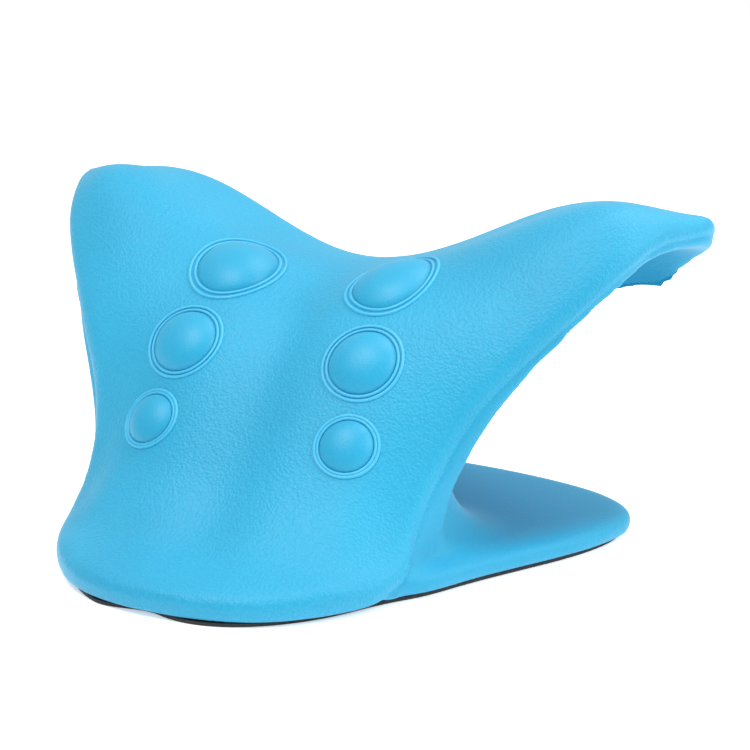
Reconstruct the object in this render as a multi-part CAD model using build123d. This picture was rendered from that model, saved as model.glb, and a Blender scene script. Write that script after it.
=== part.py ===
from build123d import *
import math
import os

# Neck and shoulder relaxer: a moulded foam cradle that stands on a fan-shaped
# foot. Millimetres, +Z up, the neck enters from the front (-Y), the wings and
# the free lip point to the rear (+Y).

# ---- driving dimensions -------------------------------------------------
SHEET_THICKNESS = 1.2          # non-slip sheet under the foot
SHEET_SHARE = 0.960            # sheet outline under the foot, share of the foot outline
SHEET_INSET = 4.5              # sheet edge back from the foot edge
GLUE_GAP = 0.35                # bond line between cushion and support
RIM_RADIUS = 7.0               # rounded edge above the parting line
FOOT_THICKNESS = 8.0           # rear foot plate, above the sheet
FOOT_EDGE_RADIUS = 3.4
FOOT_BOTTOM_RADIUS = 1.4
VALLEY_DEPTH = 6.5             # channel for the spine between the node columns
VALLEY_HALF_WIDTH = 15.0
VALLEY_MID_Y = -22.0
VALLEY_REACH = 58.0
CUSHION_MIDDLE = 14.0          # cushion layer at the centre line
PARTING_SHARE = 0.6            # parting line level as a share of the body depth

# Loft stations of the cradle:
# y, half width, then heights at the centre, one third, two thirds and the rim,
# then body depth at the centre and at the rim (None: down to the sheet).
STATIONS = [
    (-97.0, 9.0, 6.2, 6.2, 6.0, 5.4, None, None),
    (-95.8, 18.0, 9.2, 9.2, 8.8, 7.6, None, None),
    (-92.5, 30.0, 11.4, 11.3, 10.8, 9.2, None, None),
    (-88.0, 39.0, 12.6, 12.4, 11.6, 9.8, None, None),
    (-80.0, 49.0, 15.0, 14.4, 12.8, 10.4, None, None),
    (-68.0, 58.8, 20.0, 19.0, 15.8, 10.6, None, None),
    (-56.0, 65.6, 28.6, 27.2, 22.0, 10.8, None, None),
    (-47.0, 68.2, 37.0, 35.4, 29.4, 11.0, None, None),
    (-38.0, 68.2, 47.6, 46.0, 39.0, 20.5, None, None),
    (-28.5, 69.0, 58.8, 57.6, 51.8, 34.5, None, None),
    (-18.0, 74.2, 70.4, 69.8, 65.8, 53.0, 46.0, 26.0),
    (-8.0, 84.0, 80.0, 79.8, 77.8, 71.0, 40.0, 17.0),
    (6.0, 97.0, 89.6, 90.6, 92.2, 86.6, 33.0, 12.5),
    (20.0, 109.4, 94.4, 97.4, 104.8, 99.6, 28.0, 11.8),
    (35.0, 119.2, 96.0, 102.0, 116.4, 111.4, 23.0, 11.6),
    (52.0, 126.4, 95.6, 103.6, 121.0, 117.2, 20.0, 11.6),
    (66.0, 133.2, 94.0, 105.6, 121.6, 119.6, 18.0, 11.6),
    (75.0, 136.0, 91.4, 105.0, 121.6, 119.0, 17.0, 11.4),
    (82.0, 132.6, 83.4, 97.2, 115.6, 114.6, 15.0, 11.0),
    (88.0, 124.4, 67.0, 79.6, 101.4, 106.0, 12.0, 10.0),
    (91.4, 116.6, 53.0, 64.0, 86.0, 95.6, 8.6, 8.0),
    (92.8, 111.6, 46.0, 55.6, 77.6, 89.0, 5.0, 5.0),
]

SEAM_FOOT_Y = -50.0            # bond surface dives under the foot ahead of this
SEAM_DIVE_Z = -16.0
UNDER_DIVE_Z = -12.0           # hollow starts behind this level
BOND_END = (98.0, 112.0, 22.0, 31.0, 52.0, 70.0, 5.0, 5.0)
GRID_STEP = 13.0               # spacing of the bond surface lines across
GRID_COUNT = 12
NODE_GRID_STEP = 5.5
FACE_TOLERANCE = 0.15
NOSE_START = (-99.0, 6.0, 4.6, 4.6, 4.6, 4.6, None, None)
CREST_Z = 140.0                # above the tallest point

# Pillar under the cradle: height, half width, front y, rear y.
PILLAR = [
    (-3.0, 86.0, -40.0, 47.0),
    (5.0, 85.5, -40.0, 46.0),
    (8.6, 83.0, -40.0, 41.0),
    (11.5, 77.0, -39.0, 32.0),
    (16.0, 71.5, -38.0, 24.0),
    (25.0, 67.0, -34.0, 16.0),
    (38.0, 65.5, -26.0, 12.5),
    (52.0, 67.0, -17.0, 12.5),
    (64.0, 68.0, -8.0, 15.0),
    (73.0, 62.0, 0.0, 18.0),
    (78.0, 54.0, 4.0, 20.0),
]

# Foot outline on the right side, from the seam to the centre of the rear edge.
FOOT_HALF = [
    (62.0, -50.0),
    (74.0, -40.0),
    (81.0, -26.0),
    (98.0, 6.0),
    (112.0, 36.0),
    (113.5, 58.0),
    (101.0, 73.0),
    (78.0, 83.0),
    (45.0, 89.5),
    (0.0, 91.6),
]

# Node sets: name, x, y, radius across, radius along the slope.
NODES = [
    ("top", 32.2, 18.6, 18.0, 20.6),
    ("middle", 36.4, -13.9, 15.4, 15.6),
    ("lower", 39.8, -33.0, 12.0, 12.0),
]
DOME_SHARE = 0.83              # dome size as a share of the collar size
DOME_RISE = 4.2                # dome crown above the face
DOME_SINK = 7.0                # centre of the dome ellipsoid below the face
COLLAR_INNER_SHARE = 0.845
BOND_LIFT = 0.45               # nodes and collars are bonded this far above the face
BEAD_RISE = 1.7                # bead crown above the face
BEAD_WIDTH_SHARE = 0.06        # bead width as a share of the collar size
GROOVE_RISE = 1.0              # floor of the groove between the beads
TOOL_REACH = 16.0              # half length of the node cutting tubes


def even_poly(values, u):
    """Smooth even curve through heights given at u = 0, 1/3, 2/3 and 1."""
    knots = (0.0, 1 / 9, 4 / 9, 1.0)
    s = u * u
    total = 0.0
    for i, value in enumerate(values):
        term = value
        for j, knot in enumerate(knots):
            if j != i:
                term *= (s - knot) / (knots[i] - knot)
        total += term
    return total


def valley(x, y):
    """Depth of the spine channel at a point."""
    across = math.exp(-((x / VALLEY_HALF_WIDTH) ** 2))
    along = math.exp(-(((y - VALLEY_MID_Y) / VALLEY_REACH) ** 4))
    return VALLEY_DEPTH * across * along


# ---- solids ---------------------------------------------------------------
def top_height(station, x):
    """Height of the outer face at a loft station, before the rim rounding."""
    y, width = station[0], station[1]
    u = max(-1.0, min(1.0, x / width))
    return even_poly(station[2:6], u) - valley(x, y)


def rim_radius(station):
    """Radius of the rounded edge above the parting line."""
    depth_rim = station[7]
    if depth_rim is None:
        return min(RIM_RADIUS, 0.55 * top_height(station, station[1]))
    return min(RIM_RADIUS, PARTING_SHARE * depth_rim)


def superellipse(half_x, y_front, y_rear, z):
    """Closed smooth wire round the pillar at height z."""
    middle = 0.5 * (y_front + y_rear)
    half_y = 0.5 * (y_rear - y_front)
    points = []
    for step in range(20):
        angle = 2 * math.pi * step / 20
        c = math.cos(angle)
        s = math.sin(angle)
        x = half_x * math.copysign(abs(c) ** 0.72, c)
        y = middle + half_y * math.copysign(abs(s) ** 0.72, s)
        points.append(Vector(x, y, z))
    return Wire([Edge.make_spline(points, periodic=True)])


def pillar():
    """Column between the foot and the hood, flared at both ends."""
    return Solid.make_loft([superellipse(w, front, rear, z) for z, w, front, rear in PILLAR])


def foot_plate():
    """Fan-shaped foot behind the column, with rounded edges."""
    right = [Vector(x, y, SHEET_THICKNESS) for x, y in FOOT_HALF]
    left = [Vector(-v.X, v.Y, v.Z) for v in reversed(right[:-1])]
    rim = Edge.make_spline(right + left)
    front = Edge.make_line(left[-1], right[0])
    plate = Solid.extrude(Face(Wire([rim, front])), Vector(0, 0, FOOT_THICKNESS))
    top_z = SHEET_THICKNESS + FOOT_THICKNESS
    top_edges = [e for e in plate.edges() if abs(e.center().Z - top_z) < 0.01 and e.center().Y > 0]
    plate = plate.fillet(FOOT_EDGE_RADIUS, top_edges)
    low_edges = [e for e in plate.edges()
                 if abs(e.center().Z - SHEET_THICKNESS) < 0.01 and e.center().Y > 0]
    return plate.fillet(FOOT_BOTTOM_RADIUS, low_edges)


def below_sheet_level():
    """Everything under the top of the non-slip sheet."""
    return Pos(0, 0, SHEET_THICKNESS - 200.0) * Box(400, 400, 400)


def glue_height(station, x):
    """Height of the bond surface at a station."""
    y, width = station[0], station[1]
    if y < SEAM_FOOT_Y:
        return SEAM_DIVE_Z
    u = max(-1.0, min(1.0, x / width))
    rim_layer = rim_radius(station)
    middle_layer = CUSHION_MIDDLE
    if station[6] is not None:
        middle_layer = min(CUSHION_MIDDLE, PARTING_SHARE * station[6])
    layer = rim_layer + (middle_layer - rim_layer) * (1 - u * u)
    return top_height(station, u * width) - layer


def under_height(station, x):
    """Height of the hollow side of the hood at a station."""
    width, depth_mid, depth_rim = station[1], station[6], station[7]
    if depth_mid is None:
        return UNDER_DIVE_Z
    u = max(-1.0, min(1.0, x / width))
    depth = depth_mid + (depth_rim - depth_mid) * abs(u) ** 3
    return top_height(station, u * width) - depth


def rear_stations():
    """Stations that the bond surface and the hollow run through."""
    return [s for s in STATIONS if s[0] > SEAM_FOOT_Y - 8.0] + [BOND_END]


def station_face(stations, height, shift=0.0, step=GRID_STEP):
    """Smooth face through a height rule at the given stations."""
    rows = []
    for station in stations:
        xs = [i * step for i in range(-GRID_COUNT, GRID_COUNT + 1)]
        rows.append([Vector(x, station[0], height(station, x) + shift) for x in xs])
    return Face.make_surface_from_array_of_points(rows, tol=FACE_TOLERANCE)


def node_face(shift):
    """Copy of the outer face round the massage nodes, moved up by shift."""
    return station_face(rear_stations()[:-6], top_height, shift, NODE_GRID_STEP)


def hood_block(stations):
    """Straight-sided block that follows the rim outline from above."""
    right = [Vector(s[1], s[0], SHEET_THICKNESS) for s in stations]
    left = [Vector(-v.X, v.Y, v.Z) for v in reversed(right)]
    outline = Wire([
        Edge.make_spline(right),
        Edge.make_line(right[-1], left[0]),
        Edge.make_spline(left),
        Edge.make_line(left[-1], right[0]),
    ])
    return Solid.extrude(Face(outline), Vector(0, 0, CREST_Z))


def front_pad():
    """Neck cushion: the grained layer from the front edge to the rear lip."""
    crown = station_face([NOSE_START] + STATIONS[2:] + [BOND_END], top_height)
    body = hood_block(STATIONS) - Solid.extrude(crown, Vector(0, 0, 160))
    return body - Solid.extrude(station_face(rear_stations(), glue_height), Vector(0, 0, -200))


def rear_support():
    """Firm foam half: hood lining, column and fan-shaped foot in one piece."""
    body = hood_block(STATIONS[6:]) - Pos(0, SEAM_FOOT_Y - 52.0, 0) * Box(400, 100, 400)
    body = body - Solid.extrude(station_face(rear_stations(), glue_height, -GLUE_GAP), Vector(0, 0, 160))
    body = body - Solid.extrude(station_face(rear_stations(), under_height), Vector(0, 0, -200))
    body = body + (pillar() - below_sheet_level())
    return body + foot_plate()


def base_sheet():
    """Black non-slip sheet that the whole cradle stands on."""
    front = [Vector(s[1] - 1.4 * SHEET_INSET, s[0]) for s in STATIONS if -93.0 < s[0] < SEAM_FOOT_Y]
    rear = [Vector(x * SHEET_SHARE, y * SHEET_SHARE) for x, y in FOOT_HALF[1:-1]]
    right = front + [Vector(64.5, -47.5)] + rear
    left = [Vector(-v.X, v.Y) for v in reversed(right)]
    nose = Vector(0, STATIONS[0][0] + SHEET_INSET)
    heel = Vector(0, FOOT_HALF[-1][1] - SHEET_INSET)
    outline = Wire([Edge.make_spline([nose] + right + [heel] + left, periodic=True)])
    return Solid.extrude(Face(outline), Vector(0, 0, SHEET_THICKNESS))


def height_at(x, y):
    """Outer face height between stations, by a cubic through four stations."""
    ys = [s[0] for s in STATIONS]
    first = max(i for i in range(1, len(ys) - 2) if ys[i] <= y) - 1
    chosen = STATIONS[first:first + 4]
    total = 0.0
    for i, station in enumerate(chosen):
        term = top_height(station, x)
        for j, other in enumerate(chosen):
            if j != i:
                term *= (y - other[0]) / (station[0] - other[0])
        total += term
    return total


def node_plane(x, y):
    """Plane tangent to the outer face, local y up the slope."""
    slope_x = height_at(x + 0.5, y) - height_at(x - 0.5, y)
    slope_y = height_at(x, y + 0.5) - height_at(x, y - 0.5)
    normal = Vector(-slope_x, -slope_y, 1).normalized()
    across = Vector(0, 1, 0).cross(normal).normalized()
    return Plane(origin=(x, y, height_at(x, y)), x_dir=across, z_dir=normal)


def tube(plane, half_x, half_y, reach=TOOL_REACH):
    """Elliptical prism standing through the outer face."""
    start = Plane(origin=plane.origin - plane.z_dir * reach, x_dir=plane.x_dir, z_dir=plane.z_dir)
    face = Face(Wire([Edge.make_ellipse(half_x, half_y, plane=start)]))
    if half_y > half_x:
        turned = Plane(origin=start.origin, x_dir=start.y_dir, z_dir=start.z_dir)
        face = Face(Wire([Edge.make_ellipse(half_y, half_x, plane=turned)]))
    return Solid.extrude(face, plane.z_dir * (2 * reach))


def ring(plane, radii, inner, outer):
    """Elliptical tube wall between two shares of the collar size."""
    return tube(plane, radii[0] * outer, radii[1] * outer) - tube(plane, radii[0] * inner, radii[1] * inner)


def under_node_face(shift):
    """Everything under a copy of the outer face moved up by shift."""
    return Solid.extrude(node_face(shift), Vector(0, 0, -120))


def collar(plane, radii):
    """Double bead round a massage node, following the outer face."""
    body = ring(plane, radii, COLLAR_INNER_SHARE, 1.0)
    body = body - Solid.extrude(node_face(BEAD_RISE), Vector(0, 0, 60))
    body = body - under_node_face(BOND_LIFT)
    inner = COLLAR_INNER_SHARE + BEAD_WIDTH_SHARE
    groove = ring(plane, radii, inner, 1.0 - BEAD_WIDTH_SHARE)
    return body - (groove - under_node_face(GROOVE_RISE))


def dome(plane, radii):
    """Massage node: the part of a sunk ellipsoid that stands above the face."""
    half_x = radii[0] * DOME_SHARE
    half_y = radii[1] * DOME_SHARE
    ball = scale(Sphere(1.0), by=(half_x, half_y, DOME_RISE + DOME_SINK))
    upper = ball - Pos(0, 0, -30.0) * Box(80, 80, 60)
    return (plane.location * (Pos(0, 0, -DOME_SINK) * upper)) - under_node_face(BOND_LIFT)


def build_all():
    """Every sub-part by name."""
    parts = {
        "front_pad": front_pad(),
        "rear_support": rear_support(),
        "base_sheet": base_sheet(),
    }
    for name, x, y, half_x, half_y in NODES:
        plane = node_plane(x, y)
        radii = (half_x, half_y)
        for kind, solid in (("dome", dome(plane, radii)), ("collar", collar(plane, radii))):
            parts[f"{kind}_{name}_right"] = solid
            parts[f"{kind}_{name}_left"] = mirror(solid, about=Plane.YZ)
    return parts


os.makedirs("parts", exist_ok=True)
for part_name, part_solid in build_all().items():
    part_solid.label = part_name
    print(part_name, part_solid.is_valid, [round(q.volume) for q in part_solid.solids()])
    export_step(part_solid, os.path.join("parts", part_name + ".step"))
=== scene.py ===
import math

import bmesh
import bpy
from mathutils import Matrix, Vector
from mathutils.bvhtree import BVHTree


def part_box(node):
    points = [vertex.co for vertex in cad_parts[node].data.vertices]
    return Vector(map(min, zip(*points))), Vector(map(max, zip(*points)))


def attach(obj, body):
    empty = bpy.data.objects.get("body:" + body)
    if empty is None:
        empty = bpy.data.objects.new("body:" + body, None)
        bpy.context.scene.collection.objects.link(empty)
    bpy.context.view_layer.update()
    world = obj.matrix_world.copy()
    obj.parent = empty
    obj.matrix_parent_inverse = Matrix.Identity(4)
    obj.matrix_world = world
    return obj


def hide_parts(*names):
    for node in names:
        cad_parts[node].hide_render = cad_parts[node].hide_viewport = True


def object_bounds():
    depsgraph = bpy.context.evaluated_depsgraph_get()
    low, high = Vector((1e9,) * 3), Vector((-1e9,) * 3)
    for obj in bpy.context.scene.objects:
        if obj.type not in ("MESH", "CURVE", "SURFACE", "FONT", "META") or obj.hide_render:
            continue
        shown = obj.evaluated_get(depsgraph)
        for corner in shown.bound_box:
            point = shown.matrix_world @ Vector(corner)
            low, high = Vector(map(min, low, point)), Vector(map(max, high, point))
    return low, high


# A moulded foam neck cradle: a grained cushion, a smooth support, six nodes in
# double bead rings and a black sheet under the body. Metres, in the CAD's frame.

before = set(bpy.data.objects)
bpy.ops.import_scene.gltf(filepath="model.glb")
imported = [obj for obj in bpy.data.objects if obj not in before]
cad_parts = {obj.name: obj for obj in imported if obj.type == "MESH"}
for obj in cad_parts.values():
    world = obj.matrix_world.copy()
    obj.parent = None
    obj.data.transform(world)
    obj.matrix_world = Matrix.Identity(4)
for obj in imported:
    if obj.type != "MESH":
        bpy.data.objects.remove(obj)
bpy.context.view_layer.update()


# ---- moulded body ---------------------------------------------------------
VOXEL = 0.00105                # remesh size of the moulded body
SMOOTH_FACTOR = 0.5
SMOOTH_STEPS = 110             # rounds the straight CAD rim into the moulded edge
SEAM_HALF_WIDTH = 0.0011       # parting line between cushion and support
SEAM_DEPTH = 0.00075
SEAM_LOWEST = 0.004            # no groove below this height
PRESS_HEIGHT = 0.005           # how far up the foot edge is drawn down to the sheet
SHEET_CLEARANCE = 0.00002      # keeps the underside just clear of the sheet

# ---- nodes and their beads ------------------------------------------------
RING_STEPS = 128               # points round a dome or a bead
RAY_HEIGHT = 0.03              # the skin is looked for from this far out
BEAD_RADIUS = 0.00062
BEAD_LIFT = 0.00012            # bead centre line above the skin
BEAD_SIDES = 12
INNER_BEAD_SHARE = 0.855       # inner bead, share of the collar's half size
DOME_HEIGHT = 0.0050           # height of a dome in a collar of DOME_FULL_HALF or more
DOME_FULL_HALF = 0.0165
DOME_SHARE = 0.82              # dome edge, share of the collar's half size
DOME_RINGS = 26
DOME_CROWN_POWER = 2.2         # flattens the crown
DOME_EDGE_POWER = 0.72         # steepens the edge
DOME_TUCK = 0.0004             # the edge ends this far below the skin
DOME_TUCK_START = 0.93         # share of the radius where the tuck begins
NORMAL_GUESS = (0, -0.5, 0.8)  # outward from the front slope, roughly
NORMAL_STEPS = 60
FLAT_GUARD = 1e-9              # keeps the covariance invertible

# ---- foam and sheet -------------------------------------------------------
DRIFT_SCALE = 14.0             # slow colour drift
# painted shade: the foam colour is darkened in the creases between the pebbles
CREASE_PAINTED_SHADE = (0.72, 0.80, 0.88)
CREASE_SHADE_SHARE = 0.30            # strength of the painted shade between the pebbles
PEBBLE_WARP = 0.0012           # how far the pebble pattern is bent
PEBBLE_SOFTNESS = 0.28
PEBBLE_BUMP = 0.75
FINE_RATIO = 3.1               # fine grain, in pebble scales
FINE_BUMP = 0.22
PIMPLE_SCALE = 420.0           # raised dots on the black sheet
PIMPLE_BUMP = 0.6
PIMPLE_HEIGHT = 0.0003

# ---- studio and camera ----------------------------------------------------
FLOOR_HALF = 30.0
FLOOR_DROP = 0.0002
FLOOR_GREY = 0.92
FLOOR_GLOW = 0.45
WORLD_LEVEL = 0.60
AZIMUTH = math.radians(26.3)
ELEVATION = math.radians(14.5)
DISTANCE = 0.716
AIM = (0.0345, 0.0, 0.06525)
LENS = 96.0
SENSOR = 36.0


# ---- material helpers -----------------------------------------------------
def new_material(name):
    """An empty node material with its shader already joined to the output."""
    mat = bpy.data.materials.new(name)
    mat.use_nodes = True
    tree = mat.node_tree
    tree.nodes.clear()
    out = tree.nodes.new("ShaderNodeOutputMaterial")
    shader = tree.nodes.new("ShaderNodeBsdfPrincipled")
    tree.links.new(shader.outputs[0], out.inputs[0])
    return mat, tree, shader


def coords(tree):
    return tree.nodes.new("ShaderNodeTexCoord").outputs["Object"]


def noise(tree, vec, scale, detail=3.0, rough=0.5):
    node = tree.nodes.new("ShaderNodeTexNoise")
    node.inputs["Scale"].default_value = scale
    node.inputs["Detail"].default_value = detail
    node.inputs["Roughness"].default_value = rough
    tree.links.new(vec, node.inputs["Vector"])
    return node


def ramp(tree, fac, low, high, low_out, high_out):
    """Maps low..high to low_out..high_out."""
    node = tree.nodes.new("ShaderNodeMapRange")
    node.inputs["From Min"].default_value = low
    node.inputs["From Max"].default_value = high
    node.inputs["To Min"].default_value = low_out
    node.inputs["To Max"].default_value = high_out
    tree.links.new(fac, node.inputs["Value"])
    return node.outputs["Result"]


def two_colours(tree, fac, first, second):
    node = tree.nodes.new("ShaderNodeMix")
    node.data_type = "RGBA"
    node.inputs["A"].default_value = (*first, 1)
    node.inputs["B"].default_value = (*second, 1)
    tree.links.new(fac, node.inputs["Factor"])
    return node.outputs["Result"]


def multiply(tree, colour, crease_shade, share):
    node = tree.nodes.new("ShaderNodeMix")
    node.data_type = "RGBA"
    node.blend_type = "MULTIPLY"
    node.inputs["Factor"].default_value = share
    tree.links.new(colour, node.inputs["A"])
    tree.links.new(crease_shade, node.inputs["B"])
    return node.outputs["Result"]


def bump(tree, height, strength, distance, after=None):
    node = tree.nodes.new("ShaderNodeBump")
    node.inputs["Strength"].default_value = strength
    node.inputs["Distance"].default_value = distance
    tree.links.new(height, node.inputs["Height"])
    if after is not None:
        tree.links.new(after, node.inputs["Normal"])
    return node.outputs["Normal"]


def pebbles(tree, vec, scale):
    """Rounded cells with soft creases between them."""
    warp = noise(tree, vec, scale * 0.6, 2.0).outputs["Color"]
    bent = tree.nodes.new("ShaderNodeVectorMath")
    bent.operation = "MULTIPLY_ADD"
    bent.inputs[1].default_value = (PEBBLE_WARP, PEBBLE_WARP, PEBBLE_WARP)
    tree.links.new(warp, bent.inputs[0])
    tree.links.new(vec, bent.inputs[2])
    cell = tree.nodes.new("ShaderNodeTexVoronoi")
    cell.feature = "SMOOTH_F1"
    cell.inputs["Scale"].default_value = scale
    cell.inputs["Smoothness"].default_value = PEBBLE_SOFTNESS
    tree.links.new(bent.outputs[0], cell.inputs["Vector"])
    return ramp(tree, cell.outputs["Distance"], 0.1, 0.75, 1.0, 0.0)


def foam(name, dark, light, rough, grain_scale, grain_depth):
    """Self-skinned foam: soft colour drift, moulded grain with painted shade in its creases, and a
    faint sheen.
    """
    mat, tree, shader = new_material(name)
    vec = coords(tree)
    drift = noise(tree, vec, DRIFT_SCALE, 2.0).outputs["Fac"]
    colour = two_colours(tree, ramp(tree, drift, 0.35, 0.65, 0.0, 1.0), dark, light)
    grain = pebbles(tree, vec, grain_scale)
    # painted shade: the creases between the pebbles are darkened in colour
    crease_shade = two_colours(tree, ramp(tree, grain, 0.0, 0.6, 0.0, 1.0), CREASE_PAINTED_SHADE, (1, 1, 1))
    tree.links.new(multiply(tree, colour, crease_shade, CREASE_SHADE_SHARE), shader.inputs["Base Color"])
    fine = noise(tree, vec, grain_scale * FINE_RATIO, 4.0, 0.6).outputs["Fac"]
    pebbled = bump(tree, grain, PEBBLE_BUMP, grain_depth)
    normal = bump(tree, fine, FINE_BUMP, grain_depth * 0.5, pebbled)
    tree.links.new(normal, shader.inputs["Normal"])
    tree.links.new(ramp(tree, fine, 0.2, 0.8, rough - 0.05, rough + 0.07), shader.inputs["Roughness"])
    shader.inputs["Specular IOR Level"].default_value = 0.42
    shader.inputs["Sheen Weight"].default_value = 0.10
    shader.inputs["Sheen Roughness"].default_value = 0.5
    shader.inputs["Subsurface Weight"].default_value = 0.06
    shader.inputs["Subsurface Radius"].default_value = (0.002, 0.004, 0.006)
    return mat


def black_sheet_material():
    """Black sheet under the body, with a fine raised pimple pattern."""
    mat, tree, shader = new_material("base_sheet")
    vec = coords(tree)
    cell = tree.nodes.new("ShaderNodeTexVoronoi")
    cell.inputs["Scale"].default_value = PIMPLE_SCALE
    tree.links.new(vec, cell.inputs["Vector"])
    dots = ramp(tree, cell.outputs["Distance"], 0.1, 0.45, 1.0, 0.0)
    patches = noise(tree, vec, 60.0).outputs["Fac"]
    colour = two_colours(tree, patches, (0.010, 0.010, 0.012), (0.024, 0.024, 0.026))
    tree.links.new(colour, shader.inputs["Base Color"])
    tree.links.new(bump(tree, dots, PIMPLE_BUMP, PIMPLE_HEIGHT), shader.inputs["Normal"])
    tree.links.new(ramp(tree, dots, 0, 1, 0.75, 0.6), shader.inputs["Roughness"])
    return mat


CUSHION = foam("cushion_foam", (0.006, 0.305, 0.505), (0.009, 0.345, 0.560), 0.50, 940.0, 0.00020)
SUPPORT = foam("support_foam", (0.006, 0.295, 0.490), (0.008, 0.325, 0.540), 0.54, 1350.0, 0.00009)
NODE = foam("node_foam", (0.006, 0.310, 0.510), (0.009, 0.335, 0.550), 0.46, 1500.0, 0.00005)
# painted highlight: the beads get a lighter copy of the foam colour, for the light caught on the
# ridges
BEAD_HIGHLIGHT_FOAM = foam("bead_foam", (0.035, 0.410, 0.640), (0.050, 0.450, 0.690), 0.42, 1600.0, 0.00004)


# ---- mesh helpers ---------------------------------------------------------
def link(name, data):
    obj = bpy.data.objects.new(name, data)
    bpy.context.scene.collection.objects.link(obj)
    return obj


def smooth_object(name, bm):
    """A smooth-shaded object made from a bmesh, which it frees."""
    mesh = bpy.data.meshes.new(name)
    bm.to_mesh(mesh)
    bm.free()
    mesh.shade_smooth()
    return link(name, mesh)


def surface_tree(mesh):
    """Nearest-point and ray search on a mesh."""
    bm = bmesh.new()
    bm.from_mesh(mesh)
    tree = BVHTree.FromBMesh(bm)
    bm.free()
    return tree


# ---- moulded body ---------------------------------------------------------
def moulded_body():
    """Cushion and support as one voxel skin, smoothed to a moulded shape."""
    bm = bmesh.new()
    for name in ("front_pad", "rear_support"):
        bm.from_mesh(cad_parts[name].data)
    mesh = bpy.data.meshes.new("body_work")
    bm.to_mesh(mesh)
    bm.free()
    obj = link("body_work", mesh)
    remesh = obj.modifiers.new("remesh", "REMESH")
    remesh.mode = "VOXEL"
    remesh.voxel_size = VOXEL
    smooth = obj.modifiers.new("smooth", "SMOOTH")
    smooth.factor = SMOOTH_FACTOR
    smooth.iterations = SMOOTH_STEPS
    graph = bpy.context.evaluated_depsgraph_get()
    moulded = bpy.data.meshes.new_from_object(obj.evaluated_get(graph))
    obj.modifiers.clear()
    obj.data = moulded
    return obj


def press_to_sheet(obj, level):
    """Draws the lower edge down, so that the underside lies flat on the sheet."""
    for v in obj.data.vertices:
        rise = min(max((v.co.z - level) / PRESS_HEIGHT, 0.0), 1.0)
        if rise < 1.0:
            v.co.z = level + SHEET_CLEARANCE + PRESS_HEIGHT * rise * rise * (2.0 - rise)


def seam_distances(obj):
    """For each vertex, how much nearer it is to the cushion than to the support."""
    pad = surface_tree(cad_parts["front_pad"].data)
    support = surface_tree(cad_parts["rear_support"].data)
    distances = []
    for v in obj.data.vertices:
        to_pad = pad.find_nearest(v.co)[3]
        to_support = support.find_nearest(v.co)[3]
        distances.append(to_support - to_pad)
    return distances


def sink_seam(obj, side):
    """Parting line groove where cushion and support are equally near."""
    normals = [v.normal.copy() for v in obj.data.vertices]
    for v, distance, normal in zip(obj.data.vertices, side, normals):
        if v.co.z > SEAM_LOWEST:
            v.co -= normal * SEAM_DEPTH * math.exp(-((distance / SEAM_HALF_WIDTH) ** 2))


def skin_part(name, obj, side, on_cushion):
    """The faces on one side of the parting line, as their own object."""
    bm = bmesh.new()
    bm.from_mesh(obj.data)
    gone = []
    for face in bm.faces:
        mean = sum(side[v.index] for v in face.verts) / len(face.verts)
        if (mean > 0) != on_cushion:
            gone.append(face)
    bmesh.ops.delete(bm, geom=gone, context="FACES")
    return smooth_object(name, bm)


# ---- nodes ----------------------------------------------------------------
def middle_and_half(centre, points, axis):
    """How far the points' middle lies from centre along an axis, and their half size."""
    spread = [(p - centre).dot(axis) for p in points]
    return (max(spread) + min(spread)) / 2, (max(spread) - min(spread)) / 2


def collar_frame(name):
    """Centre, axes and half sizes of a collar, measured on its CAD node."""
    points = [v.co.copy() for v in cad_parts[name].data.vertices]
    centre = sum(points, Vector()) / len(points)
    cov = Matrix(((0, 0, 0), (0, 0, 0), (0, 0, 0)))
    for p in points:
        d = p - centre
        for i in range(3):
            for j in range(3):
                cov[i][j] += d[i] * d[j]
    normal = Vector(NORMAL_GUESS).normalized()
    inverse = (cov + Matrix.Identity(3) * FLAT_GUARD).inverted()
    for _ in range(NORMAL_STEPS):
        normal = (inverse @ normal).normalized()
    if normal.z < 0:
        normal = -normal
    across = Vector((0, 1, 0)).cross(normal).normalized()
    along = normal.cross(across).normalized()
    shift_x, half_x = middle_and_half(centre, points, across)
    shift_y, half_y = middle_and_half(centre, points, along)
    return centre + across * shift_x + along * shift_y, across, along, normal, half_x, half_y


def on_skin(tree, point, normal):
    """Where the line through a point along the normal meets the skin."""
    hit, face_normal, _, _ = tree.ray_cast(point + normal * RAY_HEIGHT, -normal)
    return hit, face_normal


def beads(name, tree, place):
    """Two round beads that follow the skin."""
    middle, across, along, normal, half_x, half_y = place
    bm = bmesh.new()
    for share in (1.0 - BEAD_RADIUS / half_x, INNER_BEAD_SHARE):
        rings = []
        for i in range(RING_STEPS):
            angle = 2 * math.pi * i / RING_STEPS
            radial = across * math.cos(angle) + along * math.sin(angle)
            offset = across * half_x * share * math.cos(angle)
            offset = offset + along * half_y * share * math.sin(angle)
            hit, up = on_skin(tree, middle + offset, normal)
            outward = (radial - up * radial.dot(up)).normalized()
            ring = []
            for k in range(BEAD_SIDES):
                turn = 2 * math.pi * k / BEAD_SIDES
                co = hit + up * BEAD_LIFT
                co = co + outward * BEAD_RADIUS * math.cos(turn) + up * BEAD_RADIUS * math.sin(turn)
                ring.append(bm.verts.new(co))
            rings.append(ring)
        for i in range(RING_STEPS):
            first, second = rings[i], rings[(i + 1) % RING_STEPS]
            for k in range(BEAD_SIDES):
                k2 = (k + 1) % BEAD_SIDES
                bm.faces.new((first[k], second[k], second[k2], first[k2]))
    bmesh.ops.recalc_face_normals(bm, faces=bm.faces)
    return smooth_object(name, bm)


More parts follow.
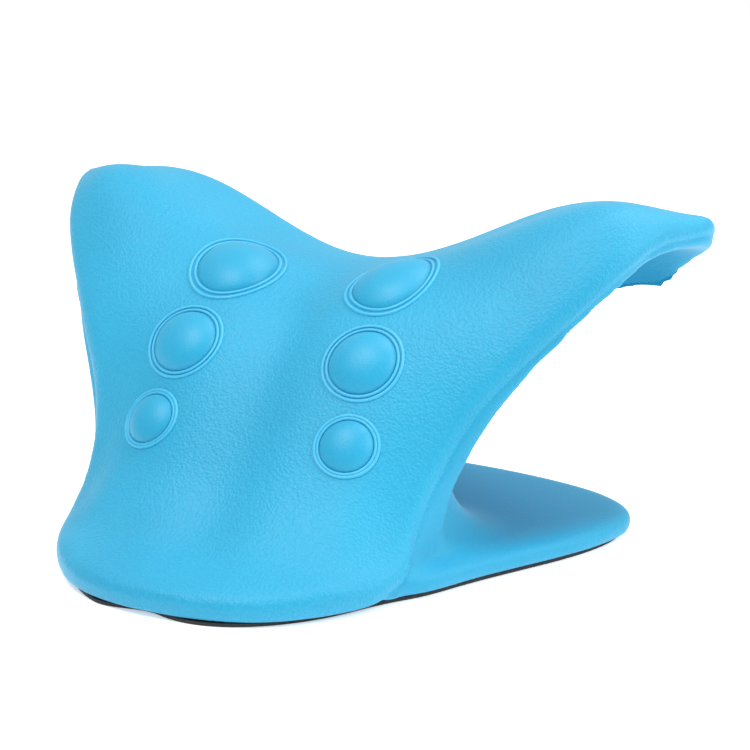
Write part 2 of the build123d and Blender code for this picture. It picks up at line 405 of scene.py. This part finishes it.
def dome(name, tree, place):
    """Rounded node that grows out of the skin."""
    middle, across, along, normal, half_x, half_y = place
    height = DOME_HEIGHT * min(1.0, half_x / DOME_FULL_HALF)
    bm = bmesh.new()
    top = bm.verts.new(on_skin(tree, middle, normal)[0] + normal * height)
    last = None
    for r in range(1, DOME_RINGS + 1):
        t = r / DOME_RINGS
        share = t * DOME_SHARE
        tuck = DOME_TUCK * max(0.0, t - DOME_TUCK_START) / (1.0 - DOME_TUCK_START)
        rise = height * (1 - t ** DOME_CROWN_POWER) ** DOME_EDGE_POWER - tuck
        ring = []
        for i in range(RING_STEPS):
            angle = 2 * math.pi * i / RING_STEPS
            offset = across * half_x * share * math.cos(angle)
            offset = offset + along * half_y * share * math.sin(angle)
            hit = on_skin(tree, middle + offset, normal)[0]
            ring.append(bm.verts.new(hit + normal * rise))
        for i in range(RING_STEPS):
            j = (i + 1) % RING_STEPS
            if last is None:
                bm.faces.new((top, ring[i], ring[j]))
            else:
                bm.faces.new((last[i], ring[i], ring[j], last[j]))
        last = ring
    bmesh.ops.recalc_face_normals(bm, faces=bm.faces)
    return smooth_object(name, bm)


def finish_piece(obj, material, node):
    """Material, slot and body of a foam piece that stands for a CAD node."""
    obj.data.materials.clear()
    obj.data.materials.append(material)
    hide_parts(node)
    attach(obj, "root")


# ---- the object -----------------------------------------------------------
body = moulded_body()
press_to_sheet(body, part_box("base_sheet")[1][2])
skin = surface_tree(body.data)
nearness = seam_distances(body)
sink_seam(body, nearness)
cushion = skin_part("cushion", body, nearness, True)
support = skin_part("support", body, nearness, False)
bpy.data.objects.remove(body)
finish_piece(cushion, CUSHION, "front_pad")
finish_piece(support, SUPPORT, "rear_support")

for level in ("top", "middle", "lower"):
    for hand in ("left", "right"):
        spot = collar_frame(f"collar_{level}_{hand}")
        knob = dome(f"dome_{level}_{hand}_skin", skin, spot)
        finish_piece(knob, NODE, f"dome_{level}_{hand}")
        pair = beads(f"collar_{level}_{hand}_beads", skin, spot)
        finish_piece(pair, BEAD_HIGHLIGHT_FOAM, f"collar_{level}_{hand}")

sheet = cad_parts["base_sheet"]
sheet.data.materials.clear()
sheet.data.materials.append(black_sheet_material())

# ---- studio ---------------------------------------------------------------
low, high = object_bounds()
centre = Vector(((low[0] + high[0]) / 2, (low[1] + high[1]) / 2, (low[2] + high[2]) / 2))


def floor():
    """Plain white floor that runs out to the horizon."""
    mesh = bpy.data.meshes.new("floor")
    size = FLOOR_HALF
    corners = [(-size, -size, 0), (size, -size, 0), (size, size, 0), (-size, size, 0)]
    mesh.from_pydata(corners, [], [(0, 1, 2, 3)])
    obj = link("floor", mesh)
    obj.location.z = low[2] - FLOOR_DROP
    mat, tree, shader = new_material("floor")
    shader.inputs["Base Color"].default_value = (FLOOR_GREY, FLOOR_GREY, FLOOR_GREY, 1)
    shader.inputs["Emission Color"].default_value = (1, 1, 1, 1)
    shader.inputs["Emission Strength"].default_value = FLOOR_GLOW
    shader.inputs["Roughness"].default_value = 0.9
    shader.inputs["Specular IOR Level"].default_value = 0.1
    mesh.materials.append(mat)


def area_light(name, place, size, power):
    """Round soft light that faces the object."""
    data = bpy.data.lights.new(name, "AREA")
    data.shape = "DISK"
    data.size = size
    data.energy = power
    obj = link(name, data)
    obj.location = place
    obj.rotation_euler = (centre - Vector(place)).to_track_quat("-Z", "Y").to_euler()


floor()
area_light("key", (-0.15, -0.45, 1.15), 0.50, 8.6)
area_light("fill", (0.95, 0.10, 0.65), 0.6, 5.5)
area_light("top", (0.30, 0.50, 1.10), 0.7, 5.8)

world = bpy.data.worlds.new("studio")
world.use_nodes = True
background = world.node_tree.nodes["Background"]
background.inputs[0].default_value = (1, 1, 1, 1)
background.inputs[1].default_value = WORLD_LEVEL
bpy.context.scene.world = world

# ---- camera ---------------------------------------------------------------
back = Vector((
    math.sin(AZIMUTH) * math.cos(ELEVATION),
    -math.cos(AZIMUTH) * math.cos(ELEVATION),
    math.sin(ELEVATION),
))
cam_data = bpy.data.cameras.new("camera")
cam_data.lens = LENS
cam_data.sensor_width = SENSOR
camera = link("camera", cam_data)
camera.location = Vector(AIM) + back * DISTANCE
camera.rotation_euler = (-back).to_track_quat("-Z", "Y").to_euler()
bpy.context.scene.camera = camera
bpy.context.scene.view_settings.view_transform = "Standard"
